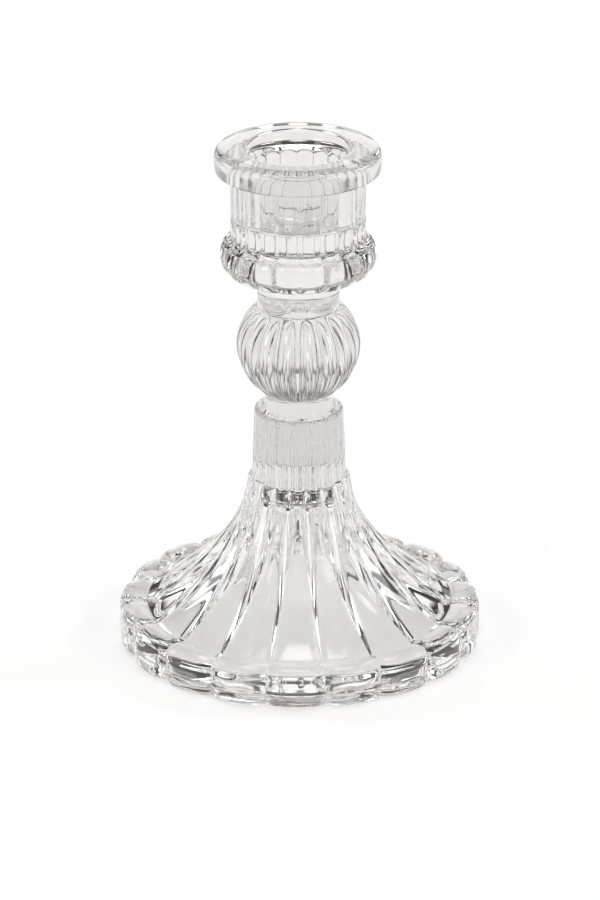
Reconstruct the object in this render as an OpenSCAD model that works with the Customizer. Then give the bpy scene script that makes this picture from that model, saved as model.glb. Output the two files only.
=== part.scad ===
// Glass candlestick: a stack of clear glass sections on one vertical axis.
// Millimetres, +Z up, foot standing on Z = 0, front towards -Y.

/* [Overall] */
// Height of the cup's top above the table
total_h = 130.5; // [110:0.5:160]
// Widest radius of the foot, over its lobes
foot_r = 45.8; // [38:0.1:56]

/* [Candle cup] */
// Radius of the candle socket
socket_r = 11.2; // [9:0.1:13.5]
// Depth of the candle socket below the cup's top
socket_depth = 19; // [12:0.5:21]
// How far the mouth flares out beyond the socket
mouth_flare = 1.3; // [0.4:0.1:2]
// Widest radius of the rim band
rim_r = 20.75; // [19.5:0.05:24]
// Height of the rim band
rim_h = 5.8; // [4:0.1:7]
// Radius of the cup's wall over its ribs
cup_r = 16.95; // [16:0.05:18.5]
// Widest radius of the bead under the cup
bead_r = 19.5; // [18.5:0.1:22]
// Height of the bead
bead_h = 9.6; // [8:0.2:12]
// Ribs around the cup
cup_ribs = 20; // [16:1:24]
// Depth of the valleys between the cup's ribs
cup_rib_depth = 0.45; // [0.2:0.05:0.8]

/* [Necks and ball] */
// Radius of the upper neck
upper_neck_r = 10.4; // [9:0.1:11]
// Length of the upper neck
upper_neck_h = 9.0; // [6:0.2:12]
// Widest radius of the ball over its ribs
ball_r = 15.5; // [14:0.1:17]
// Height of the ball
ball_h = 22.7; // [20:0.1:25]
// Ribs around the ball
ball_ribs = 20; // [14:1:24]
// Depth of the valleys between the ball's ribs
ball_rib_depth = 1.1; // [0.6:0.05:1.5]
// Radius of the lower neck
lower_neck_r = 8.7; // [7.5:0.1:9]
// Length of the lower neck
lower_neck_h = 4.5; // [3:0.1:7]

/* [Collar and foot] */
// Radius at the collar's top
collar_top_r = 11.2; // [10.5:0.1:12]
// Radius at the collar's bottom
collar_base_r = 11.8; // [11:0.1:12.4]
// Height of the collar
collar_h = 18; // [14:0.5:22]
// Ribs around the collar
collar_ribs = 24; // [18:1:36]
// How far the skirt's ribs stand out beyond the collar at its top
skirt_step = 1.1; // [0.8:0.1:2]
// Thickness of the skirt's wall at its top
skirt_wall = 5.6; // [4:0.1:7]
// Solid glass above the closed end of the foot's hollow
hollow_roof = 6; // [2:0.5:10]
// Height of the ring wall around the foot
ring_h = 6.8; // [5:0.1:9]
// Ribs around the foot, each of which ends in a lobe
foot_ribs = 19; // [14:1:24]
// Depth of the notches between the foot's lobes
foot_notch = 1.7; // [1:0.1:4]
// Width of the foot's ring, from the hollow to a notch
ring_wall = 8.1; // [5:0.1:9]

/* [Hidden] */
// Facets along a quarter of every round edge
$fn = 96;
// How flat the crests of the skirt's, the ball's, the cup's and the collar's ribs are
skirt_flat = 4;
ball_flat = 2.6;
cup_flat = 3;
collar_flat = 3;
// Points across one rib of the ball or the foot, one cup rib and one collar rib
rib_pts = 6;
cup_rib_pts = 4;
collar_rib_pts = 4;
// Turn of the foot's and the ball's ribs: a crest faces this bearing
foot_turn = -1.4;
ball_turn = -0.6;
// Turn of the cup's ribs: a valley faces this bearing
cup_turn = 1.3;
// Turn of the collar's ribs: a crest faces this bearing
collar_turn = 1.5;
// Levels where the sections meet
cup_base_z = total_h - 32.3;
upper_base_z = cup_base_z - upper_neck_h;
ball_base_z = upper_base_z - ball_h;
lower_base_z = ball_base_z - lower_neck_h;
foot_top_z = lower_base_z - collar_h;
// Cup levels and radii
rim_base_z = total_h - rim_h;
bead_top_z = cup_base_z + bead_h;
socket_floor_z = total_h - socket_depth;
mouth_r = socket_r + mouth_flare;
mouth_edge_z = total_h - 1.5;
flare_base_z = total_h - 4.2;
rim_edge = 1.2;
// Widest level of the ball and its reach above and below it
ball_mid_z = upper_base_z - 10.1;
ball_up = (upper_base_z - ball_mid_z) / sqrt(1 - pow(upper_neck_r / ball_r, 2));
ball_down = (ball_mid_z - ball_base_z) / sqrt(1 - pow(lower_neck_r / ball_r, 2));
ball_rings = 12;
// Collar edge rounding and rib depth
collar_round = 1.1;
collar_rib_depth = 0.4;
// Foot shoulder, where the skirt runs into the ring
shoulder_r = foot_r - 6.8;
shoulder_z = ring_h + 2.7;
valley_foot_r = foot_r - foot_notch;
// Top of the skirt over its ribs and in its valleys, its height and how far it flares
skirt_top_r = collar_base_r + skirt_step;
skirt_valley_r = collar_base_r - 0.15;
skirt_top_z = foot_top_z - 1.2;
skirt_h = skirt_top_z - shoulder_z;
skirt_flare = shoulder_r - skirt_top_r;
skirt_rings = 12;
// Hollow of the underside: its flat top, its mouth and the edge round its mouth
hollow_top_z = foot_top_z - hollow_roof;
hollow_top_r = collar_base_r - skirt_wall;
hollow_r = valley_foot_r - ring_wall;
hollow_edge = 2.2;

glass_tint = [0.86, 0.90, 0.91, 0.55];

// One point of a cubic curve at fraction t
function curve_at(a, b, c, d, t) =
    pow(1 - t, 3) * a + 3 * pow(1 - t, 2) * t * b + 3 * (1 - t) * t * t * c + t * t * t * d;

// A cubic curve as a list of points
function curve(a, b, c, d, steps) = [for (i = [0:steps]) curve_at(a, b, c, d, i / steps)];

// How far a bearing lies from a rib's valley (0) to its crest (1); a flatter crest has
// steeper sides
function swell(step, pts, flat) = 1 - pow(abs(2 * (step % pts) / pts - 1), flat);

// A ribbed solid between a valley outline and a crest outline, both [radius, height]
// lists of one length running from the top down
module ribbed_body(valley, crest, ribs, pts, turn, flat = 2) {
    around = ribs * pts;
    rings = len(valley);
    points = [
        for (i = [0:rings - 1], j = [0:around - 1])
            let (s = swell(j, pts, flat),
                 p = valley[i] * (1 - s) + crest[i] * s,
                 a = -90 + turn - 180 / ribs + 360 * j / around)
            [p[0] * cos(a), p[0] * sin(a), p[1]]
    ];
    sides = [
        for (i = [0:rings - 2], j = [0:around - 1])
            let (k = (j + 1) % around, u = i * around, v = u + around)
            for (f = [[u + j, u + k, v + j], [u + k, v + k, v + j]]) f
    ];
    top = [for (j = [around - 1:-1:0]) j];
    base = [for (j = [0:around - 1]) (rings - 1) * around + j];
    polyhedron(points = points, faces = concat([top], sides, [base]));
}

// The rim band: a smooth ring with a domed top
module rim_band() {
    rotate_extrude()
        polygon([
            [socket_r - 0.6, rim_base_z], [rim_r - 1.15, rim_base_z],
            [rim_r - 0.6, rim_base_z + 0.25], [rim_r - 0.4, rim_base_z + 0.8],
            [rim_r - 0.15, rim_base_z + 1.9], [rim_r, total_h - 2.3],
            [rim_r - 0.18, total_h - 1.7], [rim_r - 0.5, total_h - 1.15],
            [rim_r - 1.0, total_h - 0.65], [rim_r - 1.8, total_h - 0.3],
            [rim_r - 3.2, total_h - 0.08], [rim_r - 4.6, total_h],
            [mouth_r + 1.1, total_h], [mouth_r + 0.45, total_h - 0.25],
            [mouth_r + 0.1, total_h - 0.8], [socket_r - 0.6, mouth_edge_z]
        ]);
}

// The candle socket with its flared mouth, as the space it takes out
module socket_space() {
    translate([0, 0, socket_floor_z]) cylinder(r = socket_r, h = total_h - socket_floor_z + 1);
    translate([0, 0, flare_base_z])
        cylinder(r1 = socket_r, r2 = mouth_r, h = mouth_edge_z - flare_base_z);
    translate([0, 0, mouth_edge_z]) cylinder(r1 = mouth_r, r2 = mouth_r + 0.25, h = 2.5);
}

module candle_cup() {
    crest = [
        [cup_r, rim_base_z + rim_edge], [cup_r - 0.05, rim_base_z - 6],
        [cup_r - 0.15, bead_top_z + 2], [cup_r - 0.1, bead_top_z],
        [cup_r + 0.35, bead_top_z - 1.1], [bead_r - 0.9, bead_top_z - 2.6],
        [bead_r - 0.15, bead_top_z - 4.0], [bead_r, bead_top_z - 5.2],
        [bead_r - 0.15, bead_top_z - 6.4], [bead_r - 0.65, bead_top_z - 8.0],
        [bead_r - 1.6, bead_top_z - 9.2], [bead_r - 2.6, cup_base_z]
    ];
    valley = [for (p = crest) [p[0] - cup_rib_depth * (p[0] > cup_r + 0.3 ? 1.6 : 1), p[1]]];
    color(glass_tint) difference() {
        union() {
            ribbed_body(valley, crest, cup_ribs, cup_rib_pts, cup_turn + 180 / cup_ribs, cup_flat);
            rim_band();
        }
        socket_space();
    }
}

module upper_wafer() {
    color(glass_tint) translate([0, 0, upper_base_z]) cylinder(r = upper_neck_r, h = upper_neck_h);
}

module ball_knop() {
    // Angle up the ball at its top and bottom faces
    high = acos(upper_neck_r / ball_r);
    low = -acos(lower_neck_r / ball_r);
    crest = [
        for (i = [0:ball_rings])
            let (t = high + (low - high) * i / ball_rings)
            [ball_r * cos(t), ball_mid_z + (t > 0 ? ball_up : ball_down) * sin(t)]
    ];
    valley = [
        for (i = [0:ball_rings])
            [crest[i][0] - ball_rib_depth * (0.3 + 0.7 * sin(180 * i / ball_rings)), crest[i][1]]
    ];
    color(glass_tint) ribbed_body(valley, crest, ball_ribs, rib_pts, ball_turn, ball_flat);
}

module lower_wafer() {
    color(glass_tint) translate([0, 0, lower_base_z]) cylinder(r = lower_neck_r, h = lower_neck_h);
}

module fluted_collar() {
    crest = [
        [collar_top_r - collar_round, lower_base_z],
        [collar_top_r - collar_round * 0.3, lower_base_z - collar_round * 0.3],
        [collar_top_r, lower_base_z - collar_round],
        [collar_base_r, foot_top_z]
    ];
    valley = [for (i = [0:len(crest) - 1]) [crest[i][0] - collar_rib_depth * (i == 0 ? 0.3 : 1), crest[i][1]]];
    color(glass_tint) ribbed_body(valley, crest, collar_ribs, collar_rib_pts, collar_turn, collar_flat);
}

// The underside's hollow, following the skirt
module foot_hollow() {
    side_top_r = hollow_top_r + 1.6;
    side_top_z = hollow_top_z - 1.2;
    side_h = side_top_z - hollow_edge;
    side_flare = hollow_r - hollow_edge - side_top_r;
    side = curve([side_top_r, side_top_z], [side_top_r + side_flare * 0.04, side_top_z - side_h * 0.4],
                 [side_top_r + side_flare * 0.3, side_top_z - side_h * 0.74],
                 [hollow_r - hollow_edge, hollow_edge], 16);
    rotate_extrude()
        polygon(concat(
            [[0, -1], [0, hollow_top_z], [hollow_top_r, hollow_top_z], [hollow_top_r + 1, hollow_top_z - 0.35]],
            side, [[hollow_r, 0], [hollow_r, -1]]));
}

module flared_foot() {
    crest = concat(
        [[collar_base_r + 0.2, foot_top_z], [skirt_top_r, foot_top_z - 0.9]],
        curve([skirt_top_r, skirt_top_z], [skirt_top_r + skirt_flare * 0.04, skirt_top_z - skirt_h * 0.33],
              [skirt_top_r + skirt_flare * 0.31, skirt_top_z - skirt_h * 0.65],
              [shoulder_r, shoulder_z], skirt_rings),
        [[foot_r - 3.6, shoulder_z + 0.6], [foot_r - 1.5, shoulder_z + 0.5], [foot_r - 0.4, shoulder_z - 0.2],
         [foot_r, shoulder_z - 1.5], [foot_r, 0.7], [foot_r - 0.5, 0]]);
    valley = concat(
        [[collar_base_r - 0.3, foot_top_z], [collar_base_r - 0.2, foot_top_z - 0.9]],
        curve([skirt_valley_r, skirt_top_z], [skirt_valley_r + skirt_flare * 0.03, skirt_top_z - skirt_h * 0.4],
              [skirt_valley_r + skirt_flare * 0.34, skirt_top_z - skirt_h * 0.74],
              [shoulder_r - 0.4, shoulder_z - 0.8], skirt_rings),
        [[valley_foot_r - 2.8, shoulder_z - 0.5], [valley_foot_r - 1.2, shoulder_z - 0.6],
         [valley_foot_r - 0.3, shoulder_z - 1.2], [valley_foot_r, ring_h],
         [valley_foot_r, 0.7], [valley_foot_r - 0.5, 0]]);
    color(glass_tint) difference() {
        ribbed_body(valley, crest, foot_ribs, rib_pts, foot_turn, skirt_flat);
        foot_hollow();
    }
}

candle_cup();
upper_wafer();
ball_knop();
lower_wafer();
fluted_collar();
flared_foot();
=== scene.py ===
"""Looks for a clear pressed-glass candlestick: its sections, glass, studio light and camera."""

import logging
import math
from dataclasses import dataclass, field
from enum import Enum
from typing import Any, Sequence

import bpy
import numpy as np
from mathutils import Matrix, Vector

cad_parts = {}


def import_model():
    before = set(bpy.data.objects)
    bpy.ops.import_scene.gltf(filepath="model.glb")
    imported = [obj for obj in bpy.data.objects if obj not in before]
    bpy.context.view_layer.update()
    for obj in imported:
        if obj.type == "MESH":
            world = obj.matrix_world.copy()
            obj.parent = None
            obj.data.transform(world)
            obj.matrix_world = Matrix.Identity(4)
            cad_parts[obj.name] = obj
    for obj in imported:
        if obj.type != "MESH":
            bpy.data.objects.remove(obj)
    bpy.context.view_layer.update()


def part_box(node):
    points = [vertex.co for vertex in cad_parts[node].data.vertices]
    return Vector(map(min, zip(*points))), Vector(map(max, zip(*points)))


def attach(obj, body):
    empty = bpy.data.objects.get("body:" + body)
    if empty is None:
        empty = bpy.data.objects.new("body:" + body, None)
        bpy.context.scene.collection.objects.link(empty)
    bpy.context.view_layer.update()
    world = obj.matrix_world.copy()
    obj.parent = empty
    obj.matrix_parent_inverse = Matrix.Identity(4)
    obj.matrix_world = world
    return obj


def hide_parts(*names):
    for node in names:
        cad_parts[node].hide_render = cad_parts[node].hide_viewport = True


LOG = logging.getLogger("candlestick")

MM = 0.001
BODY = "root"

# Bearings of the front ribs, in degrees
CUP_TURN = 10.3
BALL_TURN = -0.6
COLLAR_TURN = 1.5
FOOT_TURN = -1.4

Point = tuple[float, float]
Colour = tuple[float, float, float, float]


class Skin(Enum):
    """The finishes that a section's faces can have, as places in its list of materials."""

    CLEAR = 0
    JOIN = 1
    STIPPLED = 2
    SOLID = 3
    THIN = 4


# ---------------------------------------------------------------------------
# Shader nodes
# ---------------------------------------------------------------------------


class Wire:
    """An output socket that adds Math nodes when it is used in an expression."""

    def __init__(self, nodes: "Nodes", socket: bpy.types.NodeSocket) -> None:
        """Keeps the socket and the tree that it belongs to.

        Args:
            nodes: the tree builder that new nodes go into.
            socket: the output socket that this object stands for.
        """
        self.nodes = nodes
        self.socket = socket

    def math(self, operation: str, *values: Any) -> "Wire":
        """Adds a Math node.

        Args:
            operation: the Math node's operation.
            values: its inputs in order, as numbers or wires.

        Returns:
            The node's output.
        """
        return self.nodes.add("ShaderNodeMath", {"operation": operation}, dict(enumerate(values)))

    def __add__(self, other: Any) -> "Wire":
        """This plus other."""
        return self.math("ADD", self, other)

    def __radd__(self, other: Any) -> "Wire":
        """Other plus this."""
        return self.math("ADD", other, self)

    def __sub__(self, other: Any) -> "Wire":
        """This minus other."""
        return self.math("SUBTRACT", self, other)

    def __rsub__(self, other: Any) -> "Wire":
        """Other minus this."""
        return self.math("SUBTRACT", other, self)

    def __mul__(self, other: Any) -> "Wire":
        """This times other."""
        return self.math("MULTIPLY", self, other)

    def __rmul__(self, other: Any) -> "Wire":
        """Other times this."""
        return self.math("MULTIPLY", other, self)

    def ramp(self, low: float, high: float) -> "Wire":
        """A smooth step from 0 at low to 1 at high.

        Args:
            low: the value that gives 0.
            high: the value that gives 1.

        Returns:
            The stepped value.
        """
        return self.nodes.add(
            "ShaderNodeMapRange",
            {"interpolation_type": "SMOOTHSTEP"},
            {"Value": self, "From Min": low, "From Max": high, "To Min": 0.0, "To Max": 1.0},
            "Result",
        )


class Nodes:
    """Builds the nodes of one material or world."""

    def __init__(self, tree: bpy.types.NodeTree) -> None:
        """Empties the tree.

        Args:
            tree: the node tree to build in.
        """
        self.tree = tree
        tree.nodes.clear()

    def add(
        self,
        kind: str,
        settings: dict[str, Any] | None = None,
        inputs: dict[Any, Any] | None = None,
        output: str | int = 0,
    ) -> Wire:
        """Adds one node, with its settings first and its sockets after.

        Args:
            kind: the node's type.
            settings: the node's own properties.
            inputs: a number, colour, vector or Wire for each socket, by name or place.
            output: the name or place of the output to return.

        Returns:
            The chosen output.
        """
        node = self.tree.nodes.new(kind)
        for name, value in (settings or {}).items():
            setattr(node, name, value)
        for name, value in (inputs or {}).items():
            if isinstance(value, Wire):
                self.tree.links.new(value.socket, node.inputs[name])
            else:
                node.inputs[name].default_value = value
        return Wire(self, node.outputs[output])

    def mix(self, factor: Any, low: Any, high: Any) -> Wire:
        """Blends two colours.

        Args:
            factor: 0 gives low and 1 gives high.
            low: the first colour.
            high: the second colour.

        Returns:
            The blended colour.
        """
        return self.add(
            "ShaderNodeMix", {"data_type": "RGBA"}, {0: factor, 6: low, 7: high}, 2
        )

    def finish(self, kind: str, shader: Wire) -> None:
        """Links a shader to the tree's output node.

        Args:
            kind: the output node's type.
            shader: the shader to show.
        """
        node = self.tree.nodes.new(kind)
        self.tree.links.new(shader.socket, node.inputs["Surface"])


@dataclass(frozen=True)
class ClearGlass:
    """Fire-polished pressed glass: clear, with the slow ripples that the mould leaves.

    tint is what each surface takes from the light. The ripples and the haze are noise of
    the given scales, the ripples as a bump of ripple_height metres, drawn out by grain.
    """

    name: str = "clear_pressed_glass"
    tint: Colour = (0.858, 0.85, 0.84, 1.0)
    ior: float = 1.5
    ripple_scale: float = 95.0
    ripple_height: float = 0.00006
    ripple_strength: float = 0.35
    grain: tuple[float, float, float] = (1.0, 1.0, 1.0)
    haze_scale: float = 420.0
    haze_steps: Point = (0.55, 0.8)
    haze_roughness: float = 0.01

    def build(self) -> bpy.types.Material:
        """Makes the material.

        Returns:
            The glass.
        """
        material = bpy.data.materials.new(self.name)
        material.use_nodes = True
        nodes = Nodes(material.node_tree)
        place = nodes.add("ShaderNodeTexCoord", output="Object")
        stretched = nodes.add(
            "ShaderNodeVectorMath", {"operation": "MULTIPLY"}, {0: place, 1: self.grain}
        )
        ripple = nodes.add(
            "ShaderNodeTexNoise",
            None,
            {"Vector": stretched, "Scale": self.ripple_scale, "Detail": 1.0, "Roughness": 0.4},
            "Fac",
        )
        haze = nodes.add(
            "ShaderNodeTexNoise",
            None,
            {"Vector": place, "Scale": self.haze_scale, "Detail": 2.0},
            "Fac",
        )
        bump = nodes.add(
            "ShaderNodeBump",
            None,
            {
                "Height": ripple,
                "Strength": self.ripple_strength,
                "Distance": self.ripple_height,
            },
        )
        glass = nodes.add(
            "ShaderNodeBsdfPrincipled",
            None,
            {
                "Base Color": self.tint,
                "Roughness": haze.ramp(*self.haze_steps) * self.haze_roughness,
                "IOR": self.ior,
                "Transmission Weight": 1.0,
                "Normal": bump,
            },
        )
        nodes.finish("ShaderNodeOutputMaterial", glass)
        return material


# The foot's thin glass is the palest, and the solid ball and the stippled collar the darkest
CLEAR = ClearGlass()
SOLID = ClearGlass("solid_pressed_glass", tint=(0.785, 0.775, 0.77, 1.0))
THIN = ClearGlass("thin_pressed_glass", tint=(0.965, 0.95, 0.94, 1.0))
STIPPLE = ClearGlass(
    "stippled_pressed_glass",
    tint=(0.64, 0.625, 0.61, 1.0),
    ripple_scale=460.0,
    ripple_height=0.0006,
    ripple_strength=0.28,
    grain=(1.0, 1.0, 0.45),
)


@dataclass(frozen=True)
class HotJoin:
    """The join between two sections, where the glass has run together and nothing shows."""

    name: str = "hot_join"

    def build(self) -> bpy.types.Material:
        """Makes the material.

        Returns:
            A surface that lets everything through.
        """
        material = bpy.data.materials.new(self.name)
        material.use_nodes = True
        nodes = Nodes(material.node_tree)
        clear = nodes.add("ShaderNodeBsdfPrincipled", None, {"Alpha": 0.0, "IOR": 1.0})
        nodes.finish("ShaderNodeOutputMaterial", clear)
        return material


@dataclass(frozen=True)
class PaleFloor:
    """Matt white board with light painted in: its lit part, round and behind the candlestick, is paler and
    glows like a light table, and further out it is a darker grey, a painted shade.
    """

    name: str = "pale_floor"
    colour: Colour = (0.925, 0.93, 0.94, 1.0)
    # Painted shade: the darker grey that the board takes away from its lit part.
    painted_shade: Colour = (0.5, 0.5, 0.5, 1.0)
    dark: Colour = (0.0, 0.0, 0.0, 1.0)
    # Painted glow: how brightly the lit part gives off light, though the board is no lamp.
    painted_glow: float = 0.5
    side: Point = (0.18, 0.6)
    front: Point = (0.15, 0.4)
    back: Point = (0.65, 1.4)

    def build(self) -> bpy.types.Material:
        """Makes the material.

        Returns:
            The board's finish.
        """
        material = bpy.data.materials.new(self.name)
        material.use_nodes = True
        nodes = Nodes(material.node_tree)
        place = nodes.add("ShaderNodeTexCoord", output="Object")
        x = nodes.add("ShaderNodeSeparateXYZ", None, {0: place}, "X")
        y = nodes.add("ShaderNodeSeparateXYZ", None, {0: place}, "Y")
        across = 1.0 - x.math("ABSOLUTE", x).ramp(*self.side)
        along = (1.0 - (-1.0 * y).ramp(*self.front)) * (1.0 - y.ramp(*self.back))
        # Painted light: 1 round and behind the candlestick, where the board is paler and glows, falling to 0
        # further out, where it takes the painted shade and no glow.
        painted_light_mask = across * along
        board = nodes.add(
            "ShaderNodeBsdfPrincipled",
            None,
            {
                "Base Color": nodes.mix(painted_light_mask, self.painted_shade, self.colour),
                "Roughness": 1.0,
                "Specular IOR Level": 0.0,
                "Emission Color": nodes.mix(painted_light_mask, self.dark, self.colour),
                "Emission Strength": self.painted_glow,
            },
        )
        nodes.finish("ShaderNodeOutputMaterial", board)
        return material


# ---------------------------------------------------------------------------
# Turned and ribbed surfaces
# ---------------------------------------------------------------------------


def curve(controls: Sequence[Point], count: int) -> np.ndarray:
    """Points along a Bezier curve.

    Each point is the sum of the control points weighted by the Bernstein polynomials
    binomial(n, k) * t^k * (1 - t)^(n - k), for t evenly from 0 to 1.

    Args:
        controls: two or more control points, as radius and height.
        count: how many points to return.

    Returns:
        An array of count rows of radius and height.
    """
    points = np.asarray(controls, dtype=float)
    order = len(points) - 1
    t = np.linspace(0.0, 1.0, count)[:, None]
    k = np.arange(order + 1)[None, :]
    weights = np.array([math.comb(order, i) for i in range(order + 1)])[None, :]
    return (weights * t**k * (1.0 - t) ** (order - k)) @ points


def path(*runs: tuple[Sequence[Point], int]) -> np.ndarray:
    """Joins Bezier curves end to end into one outline.

    Args:
        runs: pairs of control points and a count of steps.

    Returns:
        The outline's points, with the shared ends kept once.
    """
    parts = [curve(controls, steps + 1) for controls, steps in runs]
    return np.concatenate([parts[0]] + [part[1:] for part in parts[1:]])


@dataclass(frozen=True)
class Ribs:
    """Evenly spaced convex ribs round the axis, with narrow valleys between them."""

    number: int
    crest_bearing: float
    points: int = 24
    crowding: float = 0.5

    def across(self) -> np.ndarray:
        """Places across one rib from -1, a valley, by way of 0, the crest, to 1.

        An even spacing is blended with a sine spacing, which crowds the places towards
        the valleys.

        Returns:
            One value per point, without the last valley.
        """
        even = np.linspace(-1.0, 1.0, self.points + 1)[:-1]
        crowded = np.sin(even * math.pi / 2.0)
        return even * (1.0 - self.crowding) + crowded * self.crowding

    def bearings(self) -> np.ndarray:
        """Bearings of all points round the axis, in radians, with 0 at the front.

        Returns:
            One bearing per point.
        """
        half = math.pi / self.number
        crests = math.radians(self.crest_bearing) + 2.0 * half * np.arange(self.number)
        return (crests[:, None] + half * self.across()[None, :]).ravel()

    def swell(self, power: np.ndarray) -> np.ndarray:
        """How far each point stands from its valley, 0, to its crest, 1.

        It is 1 minus the place across the rib raised to a power: 2 gives an arc, and
        more gives a flatter crest with steeper sides.

        Args:
            power: how flat the crest is, for each ring.

        Returns:
            One row per ring, with one value per point.
        """
        return np.tile(1.0 - np.abs(self.across())[None, :] ** power[:, None], (1, self.number))


class TurnedBody:
    """A closed surface round the axis, made of rings from one pole to the other."""

    def __init__(self, ribs: Ribs, skin: Skin = Skin.CLEAR) -> None:
        """Starts a surface with no rings.

        Args:
            ribs: the pattern that gives the points round the axis.
            skin: the finish of every run that names no other.
        """
        self.ribs = ribs
        self.skin = skin
        self.rings: list[np.ndarray] = []
        self.skins: list[Skin] = []

    def run(
        self,
        crest: np.ndarray,
        valley: np.ndarray | None = None,
        skin: Skin | None = None,
        power: float | np.ndarray = 2.0,
    ) -> "TurnedBody":
        """Adds rings that follow an outline.

        Each ring's radius and height are the valley's plus the swell times the way from
        valley to crest. Without a valley the ring is round and level.

        Args:
            crest: rows of radius and height over the ribs' crests, in millimetres.
            valley: the same for the valleys.
            skin: the finish of the strips that lead to these rings, if not the body's.
            power: how flat the ribs' crests are, for all rings or for each.

        Returns:
            This body, so that runs can be chained.
        """
        low = crest if valley is None else valley
        swell = self.ribs.swell(np.broadcast_to(power, len(crest)))[..., None]
        grid = low[:, None, :] + (crest - low)[:, None, :] * swell
        self.rings.extend(grid)
        self.skins.extend([skin or self.skin] * len(grid))
        return self

    def mesh(self, name: str) -> bpy.types.Mesh:
        """Makes the closed mesh.

        A point at radius r and bearing b lies at x = r sin b and y = -r cos b. The first
        and last rings are poles: they become one point each, with a fan of triangles.

        Args:
            name: the mesh's name.

        Returns:
            The mesh, in metres, with outward faces.
        """
        grid = np.stack(self.rings) * MM
        rings, around = grid.shape[:2]
        bearing = self.ribs.bearings()[None, :]
        x = grid[..., 0] * np.sin(bearing)
        y = -grid[..., 0] * np.cos(bearing)
        body = np.stack([x, y, grid[..., 1]], axis=-1)[1:-1].reshape(-1, 3)
        poles = np.array([[0.0, 0.0, grid[0, 0, 1]], [0.0, 0.0, grid[-1, 0, 1]]])
        points = np.concatenate([body, poles])
        first, last = len(body), len(body) + 1

        index = np.arange(len(body)).reshape(rings - 2, around)
        right = np.roll(index, -1, axis=1)
        quads = np.stack([index[:-1], index[1:], right[1:], right[:-1]], axis=-1).reshape(-1, 4)
        top = np.stack([np.full(around, first), index[0], right[0]], axis=-1)
        base = np.stack([np.full(around, last), right[-1], index[-1]], axis=-1)
        corners = np.concatenate([top.ravel(), quads.ravel(), base.ravel()])
        sizes = np.concatenate([np.full(around, 3), np.full(len(quads), 4), np.full(around, 3)])
        starts = np.concatenate([[0], np.cumsum(sizes)[:-1]])
        slots = np.array([skin.value for skin in self.skins])
        strip = np.concatenate([slots[1:2], slots[2:-1], slots[-1:]])

        mesh = bpy.data.meshes.new(name)
        mesh.vertices.add(len(points))
        mesh.vertices.foreach_set("co", points.ravel())
        mesh.loops.add(len(corners))
        mesh.loops.foreach_set("vertex_index", corners)
        mesh.polygons.add(len(sizes))
        mesh.polygons.foreach_set("loop_start", starts)
        mesh.polygons.foreach_set("material_index", np.repeat(strip, around))
        mesh.polygons.foreach_set("use_smooth", np.ones(len(sizes), dtype=bool))
        mesh.update(calc_edges=True)
        mesh.validate()
        return mesh


@dataclass
class Section:
    """One section of the candlestick, which stands for one CAD node.

    Every section's own sizes are in millimetres.
    """

    node: str

    @property
    def base(self) -> float:
        """The node's lowest level, in millimetres."""
        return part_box(self.node)[0][2] / MM

    @property
    def top(self) -> float:
        """The node's highest level, in millimetres."""
        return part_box(self.node)[1][2] / MM

    def body(self) -> TurnedBody:
        """Works out the section's surface, from its first pole to its last."""
        raise NotImplementedError

    def build(self, finishes: Sequence[bpy.types.Material]) -> bpy.types.Object:
        """Builds and dresses the section, and puts it in the CAD node's place.

        Args:
            finishes: the materials, in the order of Skin.

        Returns:
            The finished piece.
        """
        mesh = self.body().mesh(f"{self.node}_glass")
        piece = bpy.data.objects.new(f"{self.node}_glass", mesh)
        bpy.context.scene.collection.objects.link(piece)
        for finish in finishes:
            mesh.materials.append(finish)
        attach(piece, BODY)
        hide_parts(self.node)
        LOG.info("%s: %d faces", piece.name, len(mesh.polygons))
        return piece


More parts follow.
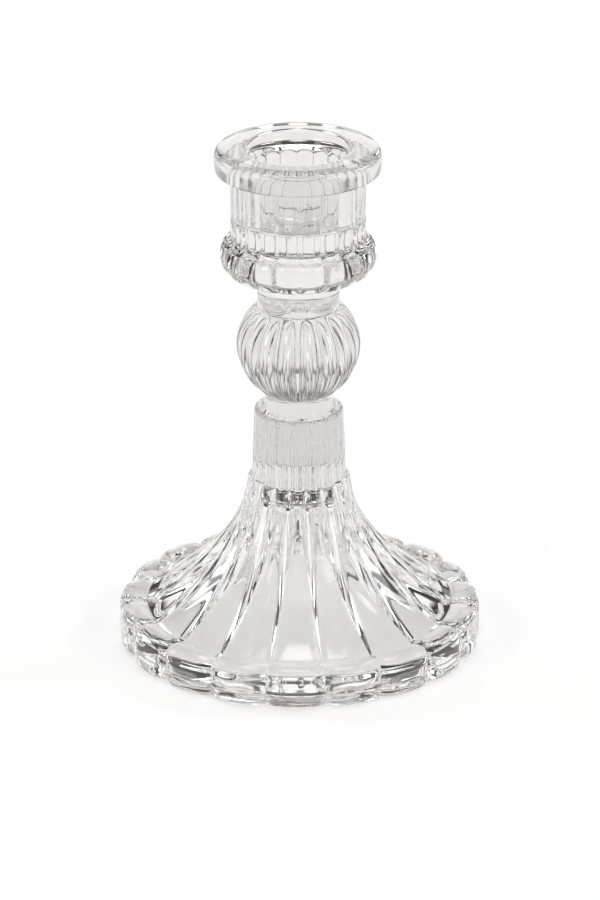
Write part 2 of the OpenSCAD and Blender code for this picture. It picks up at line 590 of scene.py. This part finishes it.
@dataclass
class CandleCup(Section):
    """The cup: ribbed wall and bead, rolled rim, and a socket with a flared mouth.

    rib_depths are the depths at the rim, just under it, over the bead, on the bead, near
    the bead's foot and at its foot.
    """

    node: str = "candle_cup"
    socket_radius: float = 11.2
    socket_depth: float = 19.0
    mouth_flare: float = 1.3
    rim_radius: float = 20.75
    rim_height: float = 5.8
    wall_radius: float = 16.95
    bead_radius: float = 19.5
    bead_height: float = 9.6
    neck_radius: float = 10.4
    rib_depths: tuple[float, ...] = (0.0, 0.7, 0.7, 0.9, 0.9, 0.25)
    flatness: float = 3.0
    ribs: Ribs = field(default_factory=lambda: Ribs(20, CUP_TURN, 20))

    def body(self) -> TurnedBody:
        """From the socket's floor up its wall, over the rim and down the outside to the neck.

        Returns:
            The cup, whose ribs run from under the rim to the foot of the bead.
        """
        top, base = self.top, self.base
        floor = top - self.socket_depth
        bore, rim = self.socket_radius, self.rim_radius
        mouth = bore + self.mouth_flare
        under = top - self.rim_height
        bead_top = base + self.bead_height
        wall, bead = self.wall_radius, self.bead_radius
        inside = path(
            ([(0.0, floor), (bore - 1.4, floor)], 8),
            ([(bore - 1.4, floor), (bore - 0.2, floor), (bore, floor + 1.3)], 6),
            ([(bore, floor + 1.3), (bore, top - 4.2)], 14),
            (
                [(bore, top - 4.2), (bore + 0.15, top - 3.2), (mouth - 0.15, top - 2.2), (mouth, top - 1.2)],
                10,
            ),
            ([(mouth, top - 1.2), (mouth + 0.1, top - 0.2), (mouth + 1.0, top)], 6),
            ([(mouth + 1.0, top), (rim - 4.4, top)], 4),
            ([(rim - 4.4, top), (rim - 2.2, top), (rim - 0.9, top - 0.4)], 8),
            ([(rim - 0.9, top - 0.4), (rim - 0.05, top - 0.9), (rim, top - 2.3)], 8),
            ([(rim, top - 2.3), (rim - 0.02, top - 3.6), (rim - 0.25, under + 0.7)], 6),
            ([(rim - 0.25, under + 0.7), (rim - 0.3, under + 0.05), (rim - 1.0, under)], 6),
        )
        crest = path(
            ([(rim - 1.0, under), (wall + 0.6, under)], 4),
            ([(wall + 0.6, under), (wall, under - 0.1), (wall, under - 0.8)], 5),
            ([(wall, under - 0.8), (wall - 0.15, bead_top + 0.9)], 14),
            ([(wall - 0.15, bead_top + 0.9), (wall - 0.1, bead_top - 1.2), (wall + 1.6, bead_top - 1.8)], 8),
            (
                [(wall + 1.6, bead_top - 1.8), (bead + 0.35, bead_top - 3.6),
                 (bead + 0.35, bead_top - 6.8), (bead - 1.6, base + 0.9)],
                22,
            ),
            ([(bead - 1.6, base + 0.9), (bead - 2.3, base + 0.1), (bead - 3.2, base)], 6),
        )
        levels = [-under, -under + 0.8, -bead_top, -bead_top + 3.0, -base - 1.5, -base]
        depth = np.interp(-crest[:, 1], levels, self.rib_depths)
        valley = crest - np.stack([depth, np.zeros_like(depth)], axis=1)
        underside = path(([(bead - 3.2, base), (self.neck_radius, base)], 5))
        join = path(([(self.neck_radius, base), (0.0, base)], 4))
        return (
            TurnedBody(self.ribs)
            .run(inside[:-1])
            .run(crest, valley, power=self.flatness)
            .run(underside[1:])
            .run(join[1:], skin=Skin.JOIN)
        )


@dataclass
class Neck(Section):
    """A short smooth neck between two sections."""

    radius: float = 10.4
    waist: float = 0.15
    ribs: Ribs = field(default_factory=lambda: Ribs(64, 0.0, 4, 0.0))

    def body(self) -> TurnedBody:
        """A cylinder, a little drawn in at its middle, with a join at each end.

        Returns:
            The neck.
        """
        top, base, radius = self.top, self.base, self.radius
        middle = (top + base) / 2.0
        above = path(([(0.0, top), (radius, top)], 3))
        side = path(([(radius, top), (radius - 2.0 * self.waist, middle), (radius, base)], 16))
        below = path(([(radius, base), (0.0, base)], 3))
        return (
            TurnedBody(self.ribs)
            .run(above, skin=Skin.JOIN)
            .run(side[1:])
            .run(below[1:], skin=Skin.JOIN)
        )


@dataclass
class BallKnop(Section):
    """The ball with its melon ribs."""

    node: str = "ball_knop"
    radius: float = 15.5
    top_radius: float = 10.4
    base_radius: float = 8.7
    upper_part: float = 10.1
    rib_depth: float = 1.25
    flatness: float = 2.5
    fade_share: float = 0.16
    ribs: Ribs = field(default_factory=lambda: Ribs(20, BALL_TURN, 24))

    def body(self) -> TurnedBody:
        """Two half ellipses of one width, of which each ends at a neck's radius.

        The ribs fade out towards the necks as the sine of the way from the end, over the
        first and last share given by fade_share.

        Returns:
            The ball.
        """
        top, base = self.top, self.base
        middle = top - self.upper_part
        high = math.acos(self.top_radius / self.radius)
        low = math.acos(self.base_radius / self.radius)
        angle = np.linspace(high, -low, 73)
        reach = np.where(
            angle > 0.0, self.upper_part / math.sin(high), (middle - base) / math.sin(low)
        )
        crest = np.stack([self.radius * np.cos(angle), middle + reach * np.sin(angle)], axis=1)
        along = np.linspace(0.0, 1.0, len(crest))
        fade = np.minimum(1.0, np.minimum(along, 1.0 - along) / self.fade_share)
        depth = self.rib_depth * np.sin(fade * math.pi / 2.0)
        valley = crest - np.stack([depth, np.zeros_like(depth)], axis=1)
        above = path(([(0.0, top), tuple(crest[0])], 4))
        below = path(([tuple(crest[-1]), (0.0, base)], 4))
        return (
            TurnedBody(self.ribs, Skin.SOLID)
            .run(above[:-1], skin=Skin.JOIN)
            .run(crest[:1], valley[:1], Skin.JOIN)
            .run(crest[1:], valley[1:], power=self.flatness)
            .run(below[1:], skin=Skin.JOIN)
        )


@dataclass
class Collar(Section):
    """The collar with its flat ribs, which end in small arches under its round top edge."""

    node: str = "fluted_collar"
    top_radius: float = 11.2
    base_radius: float = 11.8
    edge: float = 1.1
    rib_depth: float = 0.6
    flatness: float = 3.0
    neck_radius: float = 8.7
    ribs: Ribs = field(default_factory=lambda: Ribs(24, COLLAR_TURN, 20))

    def body(self) -> TurnedBody:
        """A steep cone with a round top edge, ribbed from just under the edge.

        Returns:
            The collar.
        """
        top, base = self.top, self.base
        wide, low, edge = self.top_radius, self.base_radius, self.edge
        above = path(([(0.0, top), (self.neck_radius, top)], 3))
        shelf = path(([(self.neck_radius, top), (wide - edge, top)], 2))
        crest = path(
            ([(wide - edge, top), (wide, top), (wide, top - edge)], 8),
            ([(wide, top - edge), (low, base)], 40),
        )
        valley = path(
            ([(wide - edge, top), (wide - 0.1, top - 0.05), (wide - 0.05, top - edge * 1.2)], 8),
            ([(wide - 0.05, top - edge * 1.2), (wide - self.rib_depth, top - edge * 1.6),
              (low - self.rib_depth, base)], 40),
        )
        below = path(([(low - self.rib_depth, base), (0.0, base)], 4))
        return (
            TurnedBody(self.ribs)
            .run(above, skin=Skin.JOIN)
            .run(shelf[1:])
            .run(crest[1:], valley[1:], Skin.STIPPLED, self.flatness)
            .run(below, skin=Skin.JOIN)
        )


@dataclass
class FlaredFoot(Section):
    """The foot: a ribbed skirt that flares into a ring of lobes, hollow underneath.

    flatness pairs a ring's number, from the top, with how flat the ribs' crests are there.
    """

    node: str = "flared_foot"
    outer_radius: float = 45.75
    notch: float = 1.7
    ring_height: float = 6.8
    collar_radius: float = 11.4
    top_radius: float = 12.9
    hollow_radius: float = 36.0
    hollow_top_radius: float = 6.2
    hollow_roof: float = 6.0
    flatness: tuple[Point, ...] = ((0, 2.0), (8, 3.0), (40, 4.0), (70, 9.0), (84, 9.0), (92, 3.4))
    ribs: Ribs = field(default_factory=lambda: Ribs(19, FOOT_TURN, 24, 0.8))

    def body(self) -> TurnedBody:
        """Down the skirt and the ring, across the underside and up the hollow.

        Returns:
            The foot.
        """
        top, base = self.top, self.base
        outer, ring = self.outer_radius, base + self.ring_height
        inner = outer - self.notch
        wide = self.top_radius
        start = self.collar_radius + 0.35
        shoulder, level = outer - 6.7, ring + 2.7
        crest = path(
            ([(start, top), (wide - 0.1, top), (wide, top - 1.2)], 8),
            ([(wide, top - 1.2), (wide + 1.1, top - 12.0), (wide + 8.1, top - 22.8), (shoulder, level)], 72),
            ([(shoulder, level), (shoulder + 1.2, level + 0.6), (outer - 3.2, level + 0.6)], 8),
            ([(outer - 3.2, level + 0.6), (outer - 0.1, level + 0.5), (outer, level - 1.9)], 16),
            ([(outer, level - 1.9), (outer, base + 0.9)], 8),
            ([(outer, base + 0.9), (outer, base), (outer - 0.9, base)], 6),
        )
        valley = path(
            ([(start, top), (start + 0.1, top - 0.2), (start - 0.1, top - 1.2)], 8),
            (
                [(start - 0.1, top - 1.2), (start + 0.5, top - 14.5), (start + 8.8, top - 25.8),
                 (shoulder - 0.4, level - 0.8)],
                72,
            ),
            ([(shoulder - 0.4, level - 0.8), (shoulder + 0.8, level - 0.4), (inner - 2.4, level - 0.3)], 8),
            ([(inner - 2.4, level - 0.3), (inner - 0.1, level - 0.4), (inner, level - 2.4)], 16),
            ([(inner, level - 2.4), (inner, base + 0.7)], 8),
            ([(inner, base + 0.7), (inner, base), (inner - 0.7, base)], 6),
        )
        rings, powers = zip(*self.flatness)
        flat = np.interp(np.arange(len(crest)), rings, powers)
        cave = top - self.hollow_roof
        small = self.hollow_top_radius
        hollow = self.hollow_radius
        under = path(
            ([(inner - 3.0, base), (hollow + 0.5, base)], 5),
            ([(hollow + 0.5, base), (hollow, base), (hollow - 0.4, base + 0.5)], 4),
            ([(hollow - 0.4, base + 0.5), (hollow - 2.2, base + 2.2)], 3),
            (
                [(hollow - 2.2, base + 2.2), (small + 9.5, cave - 25.5), (small + 2.9, cave - 13.0),
                 (small + 1.8, cave - 2.2)],
                44,
            ),
            ([(small + 1.8, cave - 2.2), (small + 1.6, cave), (small - 0.6, cave)], 10),
            ([(small - 0.6, cave), (0.0, cave)], 5),
        )
        join = path(([(0.0, top), (self.collar_radius, top)], 4))
        return (
            TurnedBody(self.ribs, Skin.THIN)
            .run(join, skin=Skin.JOIN)
            .run(crest, valley, power=flat)
            .run(under)
        )


# ---------------------------------------------------------------------------
# Studio
# ---------------------------------------------------------------------------


@dataclass(frozen=True)
class Panel:
    """A round soft panel on the room's walls or ceiling, seen from the table.

    bearing is 0 at the back, positive to the right, and rise is the height above the
    horizon, all in degrees. level is the panel's brightness and colour its tint.
    """

    bearing: float
    rise: float
    radius: float
    soft: float
    level: float
    colour: Colour = (1.0, 1.0, 1.0, 1.0)

    def direction(self) -> tuple[float, float, float]:
        """The unit vector towards the panel's middle."""
        turn, lift = math.radians(self.bearing), math.radians(self.rise)
        flat = math.cos(lift)
        return (flat * math.sin(turn), flat * math.cos(turn), math.sin(lift))


COOL: Colour = (0.9, 0.95, 1.0, 1.0)
WARM: Colour = (1.0, 0.93, 0.86, 1.0)


@dataclass(frozen=True)
class Sky:
    """The room round the table, as a light that depends only on direction."""

    level: float = 0.05
    panels: tuple[Panel, ...] = (
        Panel(0.0, 10.0, 11.0, 3.0, 1.1),
        Panel(-30.0, 8.0, 7.0, 3.0, 1.1),
        Panel(30.0, 8.0, 7.0, 3.0, 1.1),
        Panel(0.0, 80.0, 13.0, 4.0, 3.6),
        Panel(-60.0, 25.0, 9.0, 3.0, 4.5, COOL),
        Panel(70.0, 30.0, 9.0, 3.0, 4.5, COOL),
        Panel(130.0, 25.0, 10.0, 3.0, 4.0, WARM),
        Panel(-130.0, 25.0, 10.0, 3.0, 4.0, WARM),
        Panel(180.0, 45.0, 10.0, 4.0, 1.5, WARM),
    )

    def build(self) -> None:
        """Makes the world: a dark room with soft panels in it."""
        world = bpy.data.worlds.new("studio_room")
        world.use_nodes = True
        bpy.context.scene.world = world
        nodes = Nodes(world.node_tree)
        place = nodes.add("ShaderNodeTexCoord", output="Generated")
        level: Any = self.level
        colour: Any = WARM
        for panel in self.panels:
            facing = nodes.add(
                "ShaderNodeVectorMath",
                {"operation": "DOT_PRODUCT"},
                {0: place, 1: panel.direction()},
                "Value",
            )
            inside = facing.ramp(
                math.cos(math.radians(panel.radius + panel.soft)),
                math.cos(math.radians(panel.radius)),
            )
            level = level + inside * (panel.level - level)
            colour = nodes.mix(inside, colour, panel.colour)
        light = nodes.add("ShaderNodeBackground", None, {"Color": colour, "Strength": level})
        nodes.finish("ShaderNodeOutputWorld", light)


@dataclass(frozen=True)
class Studio:
    """Floor, camera and render settings.

    Lengths are in metres and angles in degrees. aim_below and aim_right say how far
    below and to the right of the target the view's middle lies.
    """

    floor_reach: float = 30.0
    floor_gap: float = 0.0001
    camera_distance: float = 1.3
    camera_rise: float = 22.4
    camera_target: float = 0.065
    aim_below: float = 0.611
    aim_right: float = 0.012
    roll: float = -0.2
    lens: float = 208.0
    sensor: float = 36.0
    near: float = 0.05
    far: float = 200.0
    glass_bounces: int = 32
    clear_bounces: int = 48
    gloss_bounces: int = 12
    brightest_bounce: float = 6.0

    def floor(self) -> bpy.types.Object:
        """Makes the floor.

        Returns:
            A large flat board at the candlestick's foot.
        """
        reach = self.floor_reach
        mesh = bpy.data.meshes.new("floor")
        mesh.from_pydata(
            [(x * reach, y * reach, -self.floor_gap) for x, y in ((-1, -1), (1, -1), (1, 1), (-1, 1))],
            [],
            [(0, 1, 2, 3)],
        )
        board = bpy.data.objects.new("floor", mesh)
        mesh.materials.append(PaleFloor().build())
        bpy.context.scene.collection.objects.link(board)
        return board

    def camera(self) -> bpy.types.Object:
        """Makes the camera, which looks down on the candlestick from the front.

        Returns:
            The camera.
        """
        lens = bpy.data.cameras.new("camera")
        lens.lens, lens.sensor_width = self.lens, self.sensor
        lens.clip_start, lens.clip_end = self.near, self.far
        camera = bpy.data.objects.new("camera", lens)
        rise = math.radians(self.camera_rise)
        back = Vector((0.0, -math.cos(rise), math.sin(rise)))
        target = Vector((0.0, 0.0, self.camera_target))
        turn = (-back).to_track_quat("-Z", "Y").to_matrix().to_4x4()
        tilt = Matrix.Rotation(math.radians(-self.aim_below), 4, "X")
        pan = Matrix.Rotation(math.radians(-self.aim_right), 4, "Y")
        roll = Matrix.Rotation(math.radians(self.roll), 4, "Z")
        camera.matrix_world = (
            Matrix.Translation(target + back * self.camera_distance) @ turn @ tilt @ pan @ roll
        )
        bpy.context.scene.collection.objects.link(camera)
        bpy.context.scene.camera = camera
        return camera

    def render_settings(self) -> None:
        """Lets light pass through all the walls of the glass, and shows white as white."""
        scene = bpy.context.scene
        scene.cycles.max_bounces = self.glass_bounces
        scene.cycles.transmission_bounces = self.glass_bounces
        scene.cycles.transparent_max_bounces = self.clear_bounces
        scene.cycles.glossy_bounces = self.gloss_bounces
        scene.cycles.caustics_refractive = True
        scene.cycles.caustics_reflective = True
        scene.cycles.sample_clamp_indirect = self.brightest_bounce
        scene.cycles.use_denoising = True
        scene.view_settings.view_transform = "Standard"


def main() -> None:
    """Builds the candlestick section by section, then the studio round it."""
    logging.basicConfig(level=logging.INFO, format="%(name)s: %(message)s")
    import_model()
    finishes = [finish.build() for finish in (CLEAR, HotJoin(), STIPPLE, SOLID, THIN)]
    sections = [
        CandleCup(),
        Neck("upper_wafer", radius=10.4),
        BallKnop(),
        Neck("lower_wafer", radius=8.7, waist=0.1),
        Collar(),
        FlaredFoot(),
    ]
    for section in sections:
        section.build(finishes)
    studio = Studio()
    studio.floor()
    studio.camera()
    studio.render_settings()
    Sky().build()


if __name__ == "__main__":
    main()
